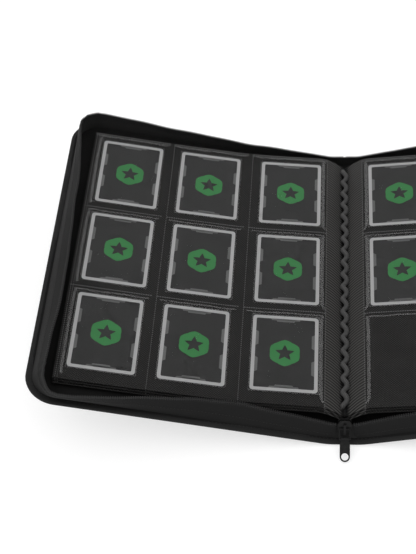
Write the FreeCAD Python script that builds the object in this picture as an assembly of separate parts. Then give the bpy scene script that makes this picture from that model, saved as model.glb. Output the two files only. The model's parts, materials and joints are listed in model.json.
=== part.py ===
"""Zip-up nine-pocket card binder, lying open on its spine in a shallow V.

Row frame: millimetres, +X to the right across the opening, +Y up the page, +Z up.
The origin is the middle of the spine's underside, on the surface the binder rests on.
Every left-hand piece (-X) has a mirrored twin on the right-hand side.
"""
import FreeCAD, Part
import math
import os
from FreeCAD import Vector

# ---- covers, lying flat: s runs from the hinge to the fore edge, h up from the hinge plane
cover_width = 284.0            # hinge to fore edge
cover_length = 369.6           # head to tail
cover_corner = 30.0            # corner radius at the fore edge
cover_tilt = 13.2              # how far each cover is raised when the binder lies open
close_wedge = 2.0              # each closed cover leans this far out from upright
spine_width = 32.0             # between the two hinge lines
hinge_relief = 2.5             # plates stop this far from the hinge line
skin_t = 0.8
foam_t = 1.0
board_t = 1.6
lining_t = 0.6
shell_t = skin_t + foam_t + board_t + lining_t
edge_width = 9.0               # turned edge that the wall is sewn to

# ---- soft walls that stand on the covers and carry the zip
flange = 6.0                   # cover edge left outside the wall
wall_t = 2.0
wall_start = 20.0              # first fabric from the hinge line
zip_gap = 0.8                  # half the gap between the closed rows of teeth
tape_w = 7.0                   # visible tape between the wall and the teeth
tape_t = 1.0
teeth_w = 2.2
teeth_t = 2.4
tape_lean = 6.0                # how far the rim leans in over the tray along the slider's run
tail_run = 0.62                # share of the straight tail wall that keeps this lean
tail_upright = 0.8             # share where the wall has come upright
corner_flare = 4.0             # the rim stands this far out at the tail corner
corner_flare_end = 1.0         # and this far where the fore edge begins
fore_leans = ((-0.72, 6.0), (-0.4, 8.0), (0.5, 6.0))   # (share of the half length, lean)
head_leans = ((0.8, 3.0), (0.6, 5.0))                  # (share of the straight head wall, lean)
head_lean_end = 4.0            # lean of the head wall beside the hinge
corner_steps = 5
stop_length = 4.0
stop_proud = 0.5               # the end stop stands this far over the teeth each side

# ---- leaves
leaf_end_clearance = 22.8      # bare tray beyond the leaves, head and tail
leaf_root_x = 5.6              # first edge beside the lacing
leaf_root_z = 18.6
leaf_rise = (9.1, 41.0)        # length and slope of the strip that climbs out of the gutter
leaf_shoulder = (10.9, 27.5)   # length and slope of the strip before the inner column
column_lead = 4.5              # flat stretch before the inner column's border
column_w = 60.2                # printed card border, middle to middle
column_gap = 25.0
column_slopes = (5.5, 11.1, 12.4)
gap_slopes = (8.3, 11.8)
leaf_margin = 12.6             # outside the outer column
row_gap = 14.0                 # between the sleeves of two rows
row_shift = 1.6                # the middle row sits this far towards the head
leaf_drops = (0.0, 2.8, 4.7)   # how far each leaf lies under the top one
leaf_fan = 1.5                 # each lower leaf is set this much towards the tail
sheet_t = 0.6
film_t = 0.25
pouch_full = 0.95              # pocket depth round a card
pouch_empty = 0.25
lip_margin = 7.5               # pocket mouth, inside the column
weld_w = 1.5
hinge_tape_t = 0.6
sleeve_w = 66.0
sleeve_l = 91.0
sleeve_t = 0.6
sleeve_wall = 0.12
sleeve_weld = 1.0              # welded border at the sleeve's sides and foot
card_w = 63.0
card_l = 88.0
card_t = 0.3
card_corner = 3.2
row_pitch = sleeve_l + row_gap
middle_shift = 1.4             # the middle column's cards sit this much nearer the fore edge

# ---- binding in the gutter
strip_half = 2.2
lacing_r = 3.5
lacing_z = 16.0
lacing_insets = (5.0, 4.0)     # the leaves reach this far past the lacing, tail and head
binding_inset = 2.0            # and this far past the bound strip

# ---- zip end, slider and pull
zip_lean = 30.0                # the zip's lower end leans back this far when open
slider_l = 15.0
slider_w = 12.0
slider_tail_w = 9.6
plate_t = 1.2
plate_gap = 4.0
slider_foot_z = 6.5            # lower end of the slider above the surface
slider_seat = 1.5              # lower end of the slider in from the tail wall's middle
slider_shoulder = 1.0          # widest from here up, above the slider's middle
slider_chamfer = 2.0
post_half = 0.5
post_z = (3.2, 6.4)            # the post that parts the two rows of teeth
bridge_half = 1.1
bridge_l = 10.0
bridge_t = 1.4
bridge_rise = 2.4
bridge_fillet = 1.2
pull_axis_rise = 1.2           # crossbar above the front plate
pull_axis_up = 0.5
pull_slope = 28.5
loop_wire_r = 0.7
loop_half = 4.7                # middle of each side wire
loop_l = 9.3                   # crossbar to lower bar
blade_l = 20.7                 # lower bar to tip
blade_w = 9.4
blade_t = 1.5
barrel_r = 1.7
barrel_half = 3.6
barrel_clearance = 0.3
blade_neck = 1.5               # bare neck between the barrel and the blade
pull_hole_r = 3.3
gusset_half = 11.0
gusset_t = 1.0
gusset_height = 13.0           # of the cloth across the head of the spine
gusset_rise = 2.6              # tape above the slider's middle
gusset_below = 0.5             # tape below the slider's foot

half_length = cover_length / 2
leaf_length = cover_length - 2 * leaf_end_clearance
lacing_y = (lacing_insets[0] - leaf_length / 2, leaf_length / 2 - lacing_insets[1])
binding_half_length = leaf_length / 2 - binding_inset
wall_s = cover_width - flange
wall_y = half_length - flange
slider_foot_y = slider_seat - wall_y
wall_r = cover_corner - flange
hinge_z = shell_t / 2
close_cos = math.cos(math.radians(close_wedge))
close_sin = math.sin(math.radians(close_wedge))


def box(x, y, z):
    """A box from three (low, high) pairs."""
    return Part.makeBox(x[1] - x[0], y[1] - y[0], z[1] - z[0], Vector(x[0], y[0], z[0]))


def prism(points, height_axis, length):
    """The closed polygon through the points, extruded along an axis."""
    wire = Part.makePolygon(points + [points[0]])
    return Part.Face(wire).extrude(height_axis * length)


def fused(solids):
    """One solid out of pieces that touch."""
    whole = solids[0].multiFuse(solids[1:]) if len(solids) > 1 else solids[0]
    return whole.removeSplitter()


def mirrored(shape):
    return shape.mirror(Vector(0, 0, 0), Vector(1, 0, 0))


# ---------------------------------------------------------------- cover plates

def cover_plate(inset, low, high):
    """A flat cover layer: square at the hinge, round at the fore-edge corners."""
    width = cover_width - inset
    half = half_length - inset
    radius = max(cover_corner - inset, 1.0)
    plate = box((-width, -hinge_relief), (-half, half), (low, high))
    corners = [edge for edge in plate.Edges
               if edge.BoundBox.XMax < -width + 0.01 and edge.BoundBox.ZLength > 0.1
               and edge.BoundBox.YLength < 0.01]
    return plate.makeFillet(radius, corners)


def cover_layers():
    """Skin, foam, board, turned edge and lining of one cover, lying flat on -X."""
    skin_top = -shell_t / 2 + skin_t
    foam_top = skin_top + foam_t
    board_top = foam_top + board_t
    top = shell_t / 2
    inner = cover_plate(edge_width, skin_top, top)
    return {
        "cover_skin": cover_plate(0.0, -shell_t / 2, skin_top),
        "cover_foam": cover_plate(edge_width, skin_top, foam_top),
        "cover_board": cover_plate(edge_width, foam_top, board_top),
        "cover_lining": cover_plate(edge_width, board_top, top),
        "cover_edge": cover_plate(0.0, skin_top, top).cut(inner),
    }


# ---------------------------------------------------------------- walls and zip

def rim_height(s):
    """Height of the teeth over the hinge plane, so that closed covers meet at the middle."""
    return (spine_width / 2 - zip_gap + s * close_sin) / close_cos


def wall_route():
    """Stations round the tray: (part, s, y, outward normal, inward lean at the rim)."""
    straight = wall_s - wall_r
    side = wall_y - wall_r
    stations = [("bottom", s, -wall_y, (0, -1), lean) for s, lean in
                ((wall_start, tape_lean), (straight * tail_run, tape_lean),
                 (straight * tail_upright, 0.0), (straight, -corner_flare))]
    for step in range(corner_steps + 1):
        turn = math.radians(90.0 * step / corner_steps)
        out = (math.sin(turn), -math.cos(turn))
        flare = corner_flare + (corner_flare_end - corner_flare) * step / corner_steps
        stations.append(("side", straight + wall_r * out[0], -side + wall_r * out[1], out, -flare))
    stations += [("side", wall_s, side * share, (1, 0), lean) for share, lean in fore_leans]
    for step in range(corner_steps + 1):
        turn = math.radians(90.0 * step / corner_steps)
        out = (math.cos(turn), math.sin(turn))
        stations.append(("side", straight + wall_r * out[0], side + wall_r * out[1], out, 0.0))
    stations.append(("top", straight, wall_y, (0, 1), 0.0))
    stations += [("top", straight * share, wall_y, (0, 1), lean) for share, lean in head_leans]
    stations.append(("top", wall_start, wall_y, (0, 1), head_lean_end))
    return stations


def wall_section(station, low, high, outer, thickness):
    """Four-sided section of a wall layer; outer is how far in from the wall's outer face."""
    part, s, y, out, lean = station
    rim = rim_height(s)
    base = shell_t / 2
    points = []
    for height, inset in ((low, outer), (low, outer + thickness),
                          (high, outer + thickness), (high, outer)):
        h = base if height is None else rim - height
        inward = inset + lean * (h - base) / (rim - base)
        points.append(Vector(-(s - out[0] * inward), y - out[1] * inward, h))
    return Part.makePolygon(points + [points[0]])


def wall_strip(stations, low, high, outer, thickness):
    sections = [wall_section(station, low, high, outer, thickness) for station in stations]
    return Part.makeLoft(sections, True, True)


def wall_pieces():
    """Three lengths of wall, the zip tape, the teeth and the row's end stop."""
    route = wall_route()
    wall_top = teeth_w + tape_w
    pieces = {}
    for part in ("bottom", "side", "top"):
        stations = [station for station in route if station[0] == part]
        pieces["wall_" + part] = wall_strip(stations, None, wall_top, 0.0, wall_t)
    ring = []
    for station in route:
        if not ring or math.dist(ring[-1][1:3], station[1:3]) > 0.5:
            ring.append(station)
    pieces["zip_tape"] = wall_strip(ring, wall_top, teeth_w, (wall_t - tape_t) / 2, tape_t)
    pieces["zip_teeth"] = wall_strip(ring, teeth_w, 0.0, (wall_t - teeth_t) / 2, teeth_t)
    last = ring[-1]
    first = (last[0], last[1] - stop_length) + last[2:]
    pieces["zip_end_stop"] = wall_strip([last, first], teeth_w + stop_proud, 0.0,
                                        (wall_t - teeth_t) / 2 - stop_proud,
                                        teeth_t + 2 * stop_proud)
    return pieces


def placed_cover(shape):
    """From flat to its raised place beside the spine."""
    placed = shape.copy()
    placed.rotate(Vector(0, 0, 0), Vector(0, 1, 0), cover_tilt)
    placed.translate(Vector(-spine_width / 2, 0, hinge_z))
    return placed


# ---------------------------------------------------------------- spine and binding

def spine_pieces():
    half = spine_width / 2 - hinge_relief
    length = (-half_length, half_length)
    skin_top = skin_t
    board_top = skin_t + foam_t + board_t
    lacing = Part.makeCylinder(lacing_r, lacing_y[1] - lacing_y[0],
                               Vector(0, lacing_y[0], lacing_z), Vector(0, 1, 0))
    gusset = box((-gusset_half, gusset_half), (-gusset_t, 0), (0, gusset_height))
    gusset.rotate(Vector(0, 0, 0), Vector(1, 0, 0), zip_lean / 2)
    gusset.translate(Vector(0, wall_y, shell_t + gusset_t * math.sin(math.radians(zip_lean / 2))))
    return {
        "spine_skin": box((-half, half), length, (0, skin_top)),
        "spine_board": box((-half, half), length, (skin_top, board_top)),
        "spine_lining": box((-half, half), length, (board_top, shell_t)),
        "binding_strip": box((-strip_half, strip_half),
                             (-binding_half_length, binding_half_length),
                             (shell_t, lacing_z - lacing_r)),
        "gutter_lacing": lacing,
        "spine_gusset_top": gusset,
    }


# ---------------------------------------------------------------- leaves

def leaf_bends():
    """Corners of the leaf's top face as (developed length, x, z), from the gutter out."""
    runs = [leaf_rise, leaf_shoulder, (column_lead + column_w, column_slopes[0]),
            (column_gap, gap_slopes[0]), (column_w, column_slopes[1]), (column_gap, gap_slopes[1]),
            (column_w, column_slopes[2]), (leaf_margin, column_slopes[2])]
    bends = [(0.0, -leaf_root_x, leaf_root_z)]
    for length, slope in runs:
        along, x, z = bends[-1]
        angle = math.radians(slope)
        bends.append((along + length, x - length * math.cos(angle), z + length * math.sin(angle)))
    return bends


bends = leaf_bends()
leaf_width = bends[-1][0]
column_starts = [leaf_rise[0] + leaf_shoulder[0] + column_lead + index * (column_w + column_gap)
                 for index in range(3)]
welds = [start + column_w + column_gap / 2 for start in column_starts[:2]]
welds.append(leaf_width - weld_w)


def leaf_point(along):
    """A point of the top face at a developed length from the gutter."""
    for (a0, x0, z0), (a1, x1, z1) in zip(bends, bends[1:]):
        if along <= a1 + 1e-6:
            part = (along - a0) / (a1 - a0)
            return x0 + part * (x1 - x0), z0 + part * (z1 - z0)
    return bends[-1][1:]


def leaf_layer(start, end, high, low, y):
    """A bent strip between two depths under the top face, from y[0] to y[1]."""
    stops = [start] + [a for a, _, _ in bends if start + 0.01 < a < end - 0.01] + [end]
    top = [Vector(x, y[0], z - high) for x, z in map(leaf_point, stops)]
    bottom = [Vector(x, y[0], z - low) for x, z in map(leaf_point, reversed(stops))]
    return prism(top + bottom, Vector(0, 1, 0), y[1] - y[0])


def row_lines(tail, head):
    """Where the welds cross the leaf: its two ends and between the rows."""
    between = [row_shift + row_pitch * side for side in (0.5, -0.5)]
    return [(tail, tail + weld_w), (head - weld_w, head)] + \
           [(y - weld_w / 2, y + weld_w / 2) for y in between]


def pocket_film(film, pouch, y):
    """The clear film of one face: three columns of pockets, open towards the spine."""
    columns = []
    for start, weld in zip(column_starts, welds):
        mouth = start - lip_margin
        pieces = [leaf_layer(mouth, weld, film[0], film[1], y),
                  leaf_layer(weld - weld_w, weld, pouch[0], pouch[1], y)]
        pieces += [leaf_layer(mouth, weld, pouch[0], pouch[1], line)
                   for line in row_lines(y[0], y[1])]
        columns.append(fused(pieces))
    return Part.makeCompound(columns)


def leaf_pieces(index, pouch):
    """Sheet and the two pocket films of one leaf."""
    drop = leaf_drops[index]
    shift = leaf_fan * index
    y = (-leaf_length / 2 - shift, leaf_length / 2 - shift)
    sheet_high = drop + film_t + pouch
    sheet_low = sheet_high + sheet_t
    rear_high = sheet_low + pouch_empty
    return {
        "sheet": leaf_layer(0.0, leaf_width, sheet_high, sheet_low, y),
        "front_pockets": pocket_film((drop, drop + film_t), (drop + film_t, sheet_high), y),
        "rear_pockets": pocket_film((rear_high, rear_high + film_t), (sheet_low, rear_high), y),
    }


def leaf_depth(index):
    """Depth of a leaf's lowest face under the top face of the stack."""
    pouch = pouch_full if index == 0 else pouch_empty
    return leaf_drops[index] + 2 * film_t + pouch + sheet_t + pouch_empty


def on_column(shape, column, row):
    """Places a flat piece, centred on the origin, in a pocket of the top leaf."""
    shift = middle_shift if column == 1 else 0.0
    x, z = leaf_point(column_starts[column] + column_w / 2 + shift)
    placed = shape.copy()
    placed.rotate(Vector(0, 0, 0), Vector(0, 1, 0), column_slopes[column])
    placed.translate(Vector(x, row_shift + (1 - row) * row_pitch, z - film_t - pouch_full / 2))
    return placed


def flat_card():
    card = box((-card_w / 2, card_w / 2), (-card_l / 2, card_l / 2), (-card_t / 2, card_t / 2))
    corners = [edge for edge in card.Edges if edge.BoundBox.ZLength > card_t / 2]
    return card.makeFillet(card_corner, corners)


def flat_sleeve():
    """A clear sleeve, open at the head."""
    outer = box((-sleeve_w / 2, sleeve_w / 2), (-sleeve_l / 2, sleeve_l / 2),
                (-sleeve_t / 2, sleeve_t / 2))
    room = sleeve_t / 2 - sleeve_wall
    side = sleeve_w / 2 - sleeve_weld
    inner = box((-side, side), (-sleeve_l / 2 + sleeve_weld, sleeve_l / 2 + sleeve_weld),
                (-room, room))
    return outer.cut(inner)


def cards_and_sleeves(rows):
    places = [(column, row) for row in range(rows) for column in range(3)]
    sleeve = flat_sleeve()
    card = flat_card()
    return {
        "card_sleeves": Part.makeCompound([on_column(sleeve, *place) for place in places]),
        "cards": Part.makeCompound([on_column(card, *place) for place in places]),
    }


def hinge_tape():
    """The web that ties the roots of the two lower leaves together."""
    top = leaf_root_z - leaf_drops[1]
    foot = leaf_root_z - leaf_depth(2) + pouch_empty + film_t
    y = leaf_length / 2 - 2 * leaf_fan
    return box((-leaf_root_x, -leaf_root_x + hinge_tape_t), (-y, y), (foot, top))


def leaf_set(filled_rows):
    """All the pieces of one side's three leaves."""
    pieces = {}
    for index in range(len(leaf_drops)):
        pouch = pouch_full if index == 0 else pouch_empty
        for name, shape in leaf_pieces(index, pouch).items():
            pieces["leaf_%d_%s" % (index + 1, name)] = shape
    for name, shape in cards_and_sleeves(filled_rows).items():
        pieces[name] = shape
    pieces["hinge_tape"] = hinge_tape()
    return pieces


# ---------------------------------------------------------------- zip end, slider and pull

slider_lean = math.radians(zip_lean)
slider_middle = (slider_foot_y + slider_l / 2 * math.sin(slider_lean),
                 slider_foot_z + slider_l / 2 * math.cos(slider_lean))


def leaned(shape):
    """From upright at the origin to the open zip's lean at the tail of the spine."""
    placed = shape.copy()
    placed.rotate(Vector(0, 0, 0), Vector(1, 0, 0), -zip_lean)
    placed.translate(Vector(0, slider_middle[0], slider_middle[1]))
    return placed


def slider_plate(face_y):
    half = slider_l / 2
    head = slider_w / 2
    tail = slider_tail_w / 2
    points = [Vector(-tail, face_y, -half), Vector(tail, face_y, -half),
              Vector(head, face_y, slider_shoulder), Vector(head, face_y, half - slider_chamfer),
              Vector(head - slider_chamfer, face_y, half),
              Vector(-head + slider_chamfer, face_y, half),
              Vector(-head, face_y, half - slider_chamfer), Vector(-head, face_y, slider_shoulder)]
    return prism(points, Vector(0, 1, 0), plate_t)


def slider_body():
    front = slider_plate(-plate_gap / 2 - plate_t)
    back = slider_plate(plate_gap / 2)
    post = box((-post_half, post_half), (-plate_gap / 2, plate_gap / 2), post_z)
    return fused([front, back, post])


def slider_bridge():
    face = -plate_gap / 2 - plate_t
    outer = box((-bridge_half, bridge_half), (face - bridge_rise - bridge_t, face),
                (-bridge_l / 2, bridge_l / 2))
    eye = box((-bridge_half, bridge_half), (face - bridge_rise, face),
              (-bridge_l / 2 + bridge_t, bridge_l / 2 - bridge_t))
    strap = outer.cut(eye)
    outside = [edge for edge in strap.Edges if edge.BoundBox.YMax < face - bridge_rise - 0.1
               and edge.BoundBox.XLength > bridge_half
               and abs(edge.BoundBox.ZMin) > bridge_l / 2 - bridge_t / 2]
    return strap.makeFillet(bridge_fillet, outside)


pull_axis_y = -plate_gap / 2 - plate_t - pull_axis_rise


def rod(start, end, radius):
    along = end - start
    return Part.makeCylinder(radius, along.Length, start, along)


def pull_loop():
    """Wire loop through the bridge, drawn along -Y with its crossbar at the origin."""
    corners = [Vector(x, y, 0) for x, y in ((-loop_half, 0), (loop_half, 0),
                                            (loop_half, -loop_l), (-loop_half, -loop_l))]
    wires = [rod(corner, corners[index - 1], loop_wire_r) for index, corner in enumerate(corners)]
    knuckles = [Part.makeSphere(loop_wire_r, corner) for corner in corners]
    return set_pull(fused(wires + knuckles))


def pull_tab():
    """Blade with its barrel round the loop's lower bar and an eye at its tip."""
    low = -blade_t / 2
    tip_y = -loop_l - blade_l + blade_w / 2
    shoulder_y = -loop_l - barrel_r - blade_neck
    barrel = Part.makeCylinder(barrel_r, 2 * barrel_half, Vector(-barrel_half, -loop_l, 0),
                               Vector(1, 0, 0))
    bore = Part.makeCylinder(loop_wire_r + barrel_clearance, 2 * barrel_half,
                             Vector(-barrel_half, -loop_l, 0), Vector(1, 0, 0))
    neck = box((-barrel_half, barrel_half), (shoulder_y, -loop_l), (low, -low))
    blade = box((-blade_w / 2, blade_w / 2), (tip_y, shoulder_y), (low, -low))
    tip = Part.makeCylinder(blade_w / 2, blade_t, Vector(0, tip_y, low), Vector(0, 0, 1))
    eye = Part.makeCylinder(pull_hole_r, blade_t, Vector(0, tip_y, low), Vector(0, 0, 1))
    return set_pull(fused([barrel, neck, blade, tip]).cut(bore).cut(eye))


def set_pull(shape):
    """From drawn along -Y to its slope down from the bridge to the surface."""
    placed = shape.copy()
    placed.rotate(Vector(0, 0, 0), Vector(1, 0, 0), pull_slope)
    y = pull_axis_y * math.cos(slider_lean) + pull_axis_up * math.sin(slider_lean)
    z = -pull_axis_y * math.sin(slider_lean) + pull_axis_up * math.cos(slider_lean)
    placed.translate(Vector(0, slider_middle[0] + y, slider_middle[1] + z))
    return placed


def zip_pieces():
    tape = box((-gusset_half, gusset_half), (-gusset_t / 2, gusset_t / 2),
               (-slider_l / 2 - gusset_below, gusset_rise))
    return {
        "spine_gusset_bottom": leaned(tape),
        "zip_slider": leaned(slider_body()),
        "slider_bridge": leaned(slider_bridge()),
        "pull_loop": pull_loop(),
        "pull_tab": pull_tab(),
    }


# ---------------------------------------------------------------- the whole binder

def all_pieces():
    pieces = {}
    pieces.update(spine_pieces())
    flat = cover_layers()
    flat.update(wall_pieces())
    for name, shape in flat.items():
        left = placed_cover(shape)
        pieces["front_" + name] = left
        pieces["back_" + name] = mirrored(left)
    for name, shape in leaf_set(3).items():
        pieces["left_" + name] = shape
    for name, shape in leaf_set(2).items():
        pieces["right_" + name] = mirrored(shape)
    pieces.update(zip_pieces())
    return pieces


os.makedirs("parts", exist_ok=True)
for node, shape in all_pieces().items():
    if not shape.isValid():
        raise ValueError("invalid solid: " + node)
    shape.exportStep("parts/%s.step" % node)
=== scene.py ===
"""Looks of the zip-up card binder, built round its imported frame.

Lengths are millimetres in the row frame; meshes are scaled to metres as they are made.
"""
import json
import math

import bmesh
import bpy
import numpy as np
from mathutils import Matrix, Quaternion, Vector


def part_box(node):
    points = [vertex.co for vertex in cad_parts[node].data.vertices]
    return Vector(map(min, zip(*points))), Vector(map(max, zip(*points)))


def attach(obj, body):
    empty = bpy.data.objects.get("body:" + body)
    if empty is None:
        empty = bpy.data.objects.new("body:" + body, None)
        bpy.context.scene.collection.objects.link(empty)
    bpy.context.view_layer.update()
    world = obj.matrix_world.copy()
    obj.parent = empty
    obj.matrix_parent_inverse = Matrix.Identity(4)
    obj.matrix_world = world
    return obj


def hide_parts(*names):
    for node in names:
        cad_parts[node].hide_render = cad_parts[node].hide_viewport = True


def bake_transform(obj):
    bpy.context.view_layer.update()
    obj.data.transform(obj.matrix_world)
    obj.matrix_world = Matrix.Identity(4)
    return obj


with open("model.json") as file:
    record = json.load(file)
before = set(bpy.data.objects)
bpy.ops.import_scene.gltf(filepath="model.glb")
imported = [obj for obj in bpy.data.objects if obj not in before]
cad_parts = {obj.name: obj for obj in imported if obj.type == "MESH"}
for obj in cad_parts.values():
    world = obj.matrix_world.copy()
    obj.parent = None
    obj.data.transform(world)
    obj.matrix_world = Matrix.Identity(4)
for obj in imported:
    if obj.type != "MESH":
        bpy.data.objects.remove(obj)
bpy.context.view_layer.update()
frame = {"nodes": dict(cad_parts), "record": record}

MM = 0.001
SIDES = (("front", "left", -1.0), ("back", "right", 1.0))

# ---- sizes shared with the frame
half_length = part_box("spine_skin")[1][1] / MM
tilt = math.radians(13.2)          # how far each open cover is raised
hinge_x = 16.0
shell_t = 4.0
cover_width = 284.0
cover_corner = 30.0
close_wedge = math.radians(2.0)
zip_gap = 0.8
flange = 6.0                       # cover edge outside the wall
wall_t = 2.0
tape_w = 7.0
teeth_w = 2.2
tooth_pitch = 2.1
leaf_length = 324.0
leaf_root = (5.6, 18.6)
leaf_runs = ((9.1, 41.0), (10.9, 27.5), (64.7, 5.5), (25.0, 8.3), (60.2, 11.1), (25.0, 11.8),
             (72.8, 12.4))         # (length, slope) from the gutter out
column_starts = (24.5, 109.7, 194.9)
column_w = 60.2
column_slopes = (5.5, 11.1, 12.4)
welds = (97.2, 182.4, 266.2)
row_middles = (106.6, 1.6, -103.4)
row_pitch = row_middles[0] - row_middles[1]
row_seams = (row_middles[0] - row_pitch / 2, row_middles[1] - row_pitch / 2)
leaf_drops = (0.0, 2.8, 4.7)
leaf_fan = 1.5
sheet_t = 0.6
film_t = 0.25                      # room the film takes in the stack
film_skin = 0.14                   # the film as drawn
lip_skin = 0.2
pouch_full = 0.95                  # height of a pocket with a card
pouch_empty = 0.25
leaf_hem = 1.0                     # plain strip past the pockets at the leaf's two ends
lip_margin = 7.5                   # the film starts this far before its column
middle_shift = 1.4
leaf_w = sum(length for length, _ in leaf_runs)
film_ends = (column_starts[1] - lip_margin - 0.5, column_starts[2] - lip_margin - 0.5,
             leaf_w - 0.4)

# ---- the soft shape of the open binder
fold_half = 6.0                    # the case cloth bends this far each side of a hinge line
roll_r = 2.6                       # the turned edge, from its middle to its outer side
roll_half = 1.96                   # and to its upper face
plate_bow = 1.6                    # crown of the padded outer face


# ================================================================ shapes

painted_edge_shade_flat = (-9.0, 0.0)        # flat coordinate that the sheet finish paints darkest: painted shade on the cut edges of sheets


def placed(name, data):
    """A new object in the scene."""
    made = bpy.data.objects.new(name, data)
    bpy.context.scene.collection.objects.link(made)
    return made


def unit(vectors):
    return vectors / np.linalg.norm(vectors, axis=1)[:, None]


def lengths_along(points):
    """Distance of each point of a line from its start."""
    return np.r_[0, np.cumsum(np.linalg.norm(np.diff(points, axis=0), axis=1))]


def sampled(points, along, spots):
    """Points of a line at some distances along it."""
    return np.stack([np.interp(spots, along, points[:, k]) for k in range(3)], -1)


class Shape:
    """Points, faces and flat coordinates of one piece, gathered part by part."""

    def __init__(self):
        self.points = []
        self.faces = []
        self.flat = []
        self.count = 0
        self.cut_edges = []

    def add(self, points, faces, flat=None):
        points = np.asarray(points, float).reshape(-1, 3)
        if flat is None:
            flat = points[:, :2]
        self.points.append(points)
        self.flat.append(np.asarray(flat, float).reshape(-1, 2))
        self.faces += [tuple(int(i) + self.count for i in face) for face in faces]
        self.count += len(points)

    def shell(self, top, under, flat=None):
        """A thin closed sheet from two grids of points, rows by columns."""
        rows, columns = top.shape[:2]
        size = rows * columns
        if flat is None:
            flat = np.stack(np.meshgrid(lengths_along(top[:, 0]), lengths_along(top[0]),
                                        indexing="ij"), -1)
        index = np.arange(size).reshape(rows, columns)
        quads = np.stack([index[:-1, :-1], index[1:, :-1], index[1:, 1:], index[:-1, 1:]], -1)
        quads = quads.reshape(-1, 4)
        ring = np.r_[index[0, :-1], index[:-1, -1], index[-1, :0:-1], index[:0:-1, 0]]
        after = np.roll(ring, -1)
        rim = np.stack([ring, after, after + size, ring + size], -1)
        faces = np.concatenate([quads, quads[:, ::-1] + size, rim])
        flat = np.asarray(flat).reshape(-1, 2)
        self.add(np.concatenate([top.reshape(-1, 3), under.reshape(-1, 3)]), faces,
                 np.concatenate([flat, flat]))
        self.cut_edges.append(np.arange(len(self.faces) - len(rim), len(self.faces)))

    def sweep(self, sections, closed=False):
        """A skin over closed sections, capped at its ends unless it closes on itself."""
        sections = np.asarray(sections, float)
        rows, columns = sections.shape[:2]
        index = np.arange(rows * columns).reshape(rows, columns)
        after = np.roll(index, -1, axis=1)
        last = rows if closed else rows - 1
        faces = []
        for row in range(last):
            nxt = (row + 1) % rows
            faces += list(np.stack([index[row], after[row], after[nxt], index[nxt]], -1))
        if not closed:
            faces += [index[0][::-1], index[-1]]
        flat = np.stack(np.meshgrid(lengths_along(sections.mean(axis=1)),
                                    lengths_along(sections[0]), indexing="ij"), -1)
        self.add(sections, faces, flat)

    def copies(self, points, faces, places, axes):
        """One small part at many places; axes holds three row vectors for each place."""
        points = np.asarray(points, float)
        for place, frame_axes in zip(places, axes):
            self.add(points @ frame_axes + place, faces)

    def make(self, name, sharp=38.0):
        mesh = bpy.data.meshes.new(name)
        points = np.concatenate(self.points) * MM
        mesh.from_pydata(points.tolist(), [], self.faces)
        layer = mesh.uv_layers.new(name="flat")
        corners = np.empty(len(mesh.loops), int)
        mesh.loops.foreach_get("vertex_index", corners)
        flat = np.concatenate(self.flat)[corners]
        # The rims of thin shells take the flat coordinate that the sheet finish paints darkest, as
        # painted shade on the cut edges.
        if self.cut_edges:
            starts = np.empty(len(mesh.polygons), int)
            mesh.polygons.foreach_get("loop_start", starts)
            cut = starts[np.concatenate(self.cut_edges)]
            flat[(cut[:, None] + np.arange(4)).ravel()] = painted_edge_shade_flat
        layer.data.foreach_set("uv", flat.ravel())
        work = bmesh.new()
        work.from_mesh(mesh)
        bmesh.ops.recalc_face_normals(work, faces=work.faces)
        work.to_mesh(mesh)
        work.free()
        mesh.shade_smooth()
        mesh.set_sharp_from_angle(angle=math.radians(sharp))
        return placed(name, mesh)


def round_section(middle, across, up, half_across, half_up, steps=12, power=1.0):
    """A closed round or squarish section about a point."""
    turns = np.linspace(0, 2 * math.pi, steps, endpoint=False)
    a = np.sign(np.cos(turns)) * np.abs(np.cos(turns)) ** power
    b = np.sign(np.sin(turns)) * np.abs(np.sin(turns)) ** power
    return middle + np.outer(a * half_across, across) + np.outer(b * half_up, up)


tube_up = (0.0, 0.31, 0.95)        # no cord runs this way, so it sets how sections are turned


def tube(path, radius, steps=10):
    """Sections of a round cord along a path."""
    path = np.asarray(path, float)
    ahead = unit(np.gradient(path, axis=0))
    side = unit(np.cross(ahead, tube_up))
    up = np.cross(side, ahead)
    return [round_section(p, s, u, radius, radius, steps) for p, s, u in zip(path, side, up)]


def smoothed(values, reach):
    """Moving average with held ends."""
    kernel = np.ones(2 * reach + 1) / (2 * reach + 1)
    return np.convolve(np.pad(values, reach, mode="edge"), kernel, mode="valid")


def ease(t):
    t = np.clip(t, 0, 1)
    return t * t * (3 - 2 * t)


# ================================================================ the open case

bend_r = 2 * fold_half / tilt


def case_point(side, d, y, h):
    """A point at distance d from the spine's middle along the case and h above its mid-plane."""
    d, y, h = np.broadcast_arrays(np.asarray(d, float), y, h)
    slope = np.clip((d - hinge_x + fold_half) / (2 * fold_half), 0, 1) * tilt
    beyond = np.maximum(d - hinge_x - fold_half, 0)
    x = np.minimum(d, hinge_x - fold_half) + bend_r * np.sin(slope) + beyond * math.cos(tilt)
    z = bend_r * (1 - np.cos(slope)) + beyond * math.sin(tilt)
    return np.stack([side * (x - h * np.sin(slope)), y, shell_t / 2 + z + h * np.cos(slope)], -1)


case_end = hinge_x + cover_width


def case_half(d, inset=0.0):
    """Half of the case's length at a distance from the spine, round at the fore-edge corners."""
    over = np.clip(d - (case_end - cover_corner), 0, cover_corner - inset)
    radius = cover_corner - inset
    return half_length - inset - (radius - np.sqrt(np.maximum(radius ** 2 - over ** 2, 0)))


def case_stations(inset, start):
    """Distances from the spine, closer together at the hinge and the corners."""
    end = case_end - inset
    near = np.arange(start, 30, 1.5)
    middle = np.linspace(30, case_end - cover_corner, 40)
    turns = np.linspace(0, math.pi / 2, 14)[1:]
    corner = case_end - cover_corner + (cover_corner - inset) * np.sin(turns)
    return np.r_[near, middle, corner[corner <= end + 1e-6]]


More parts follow.
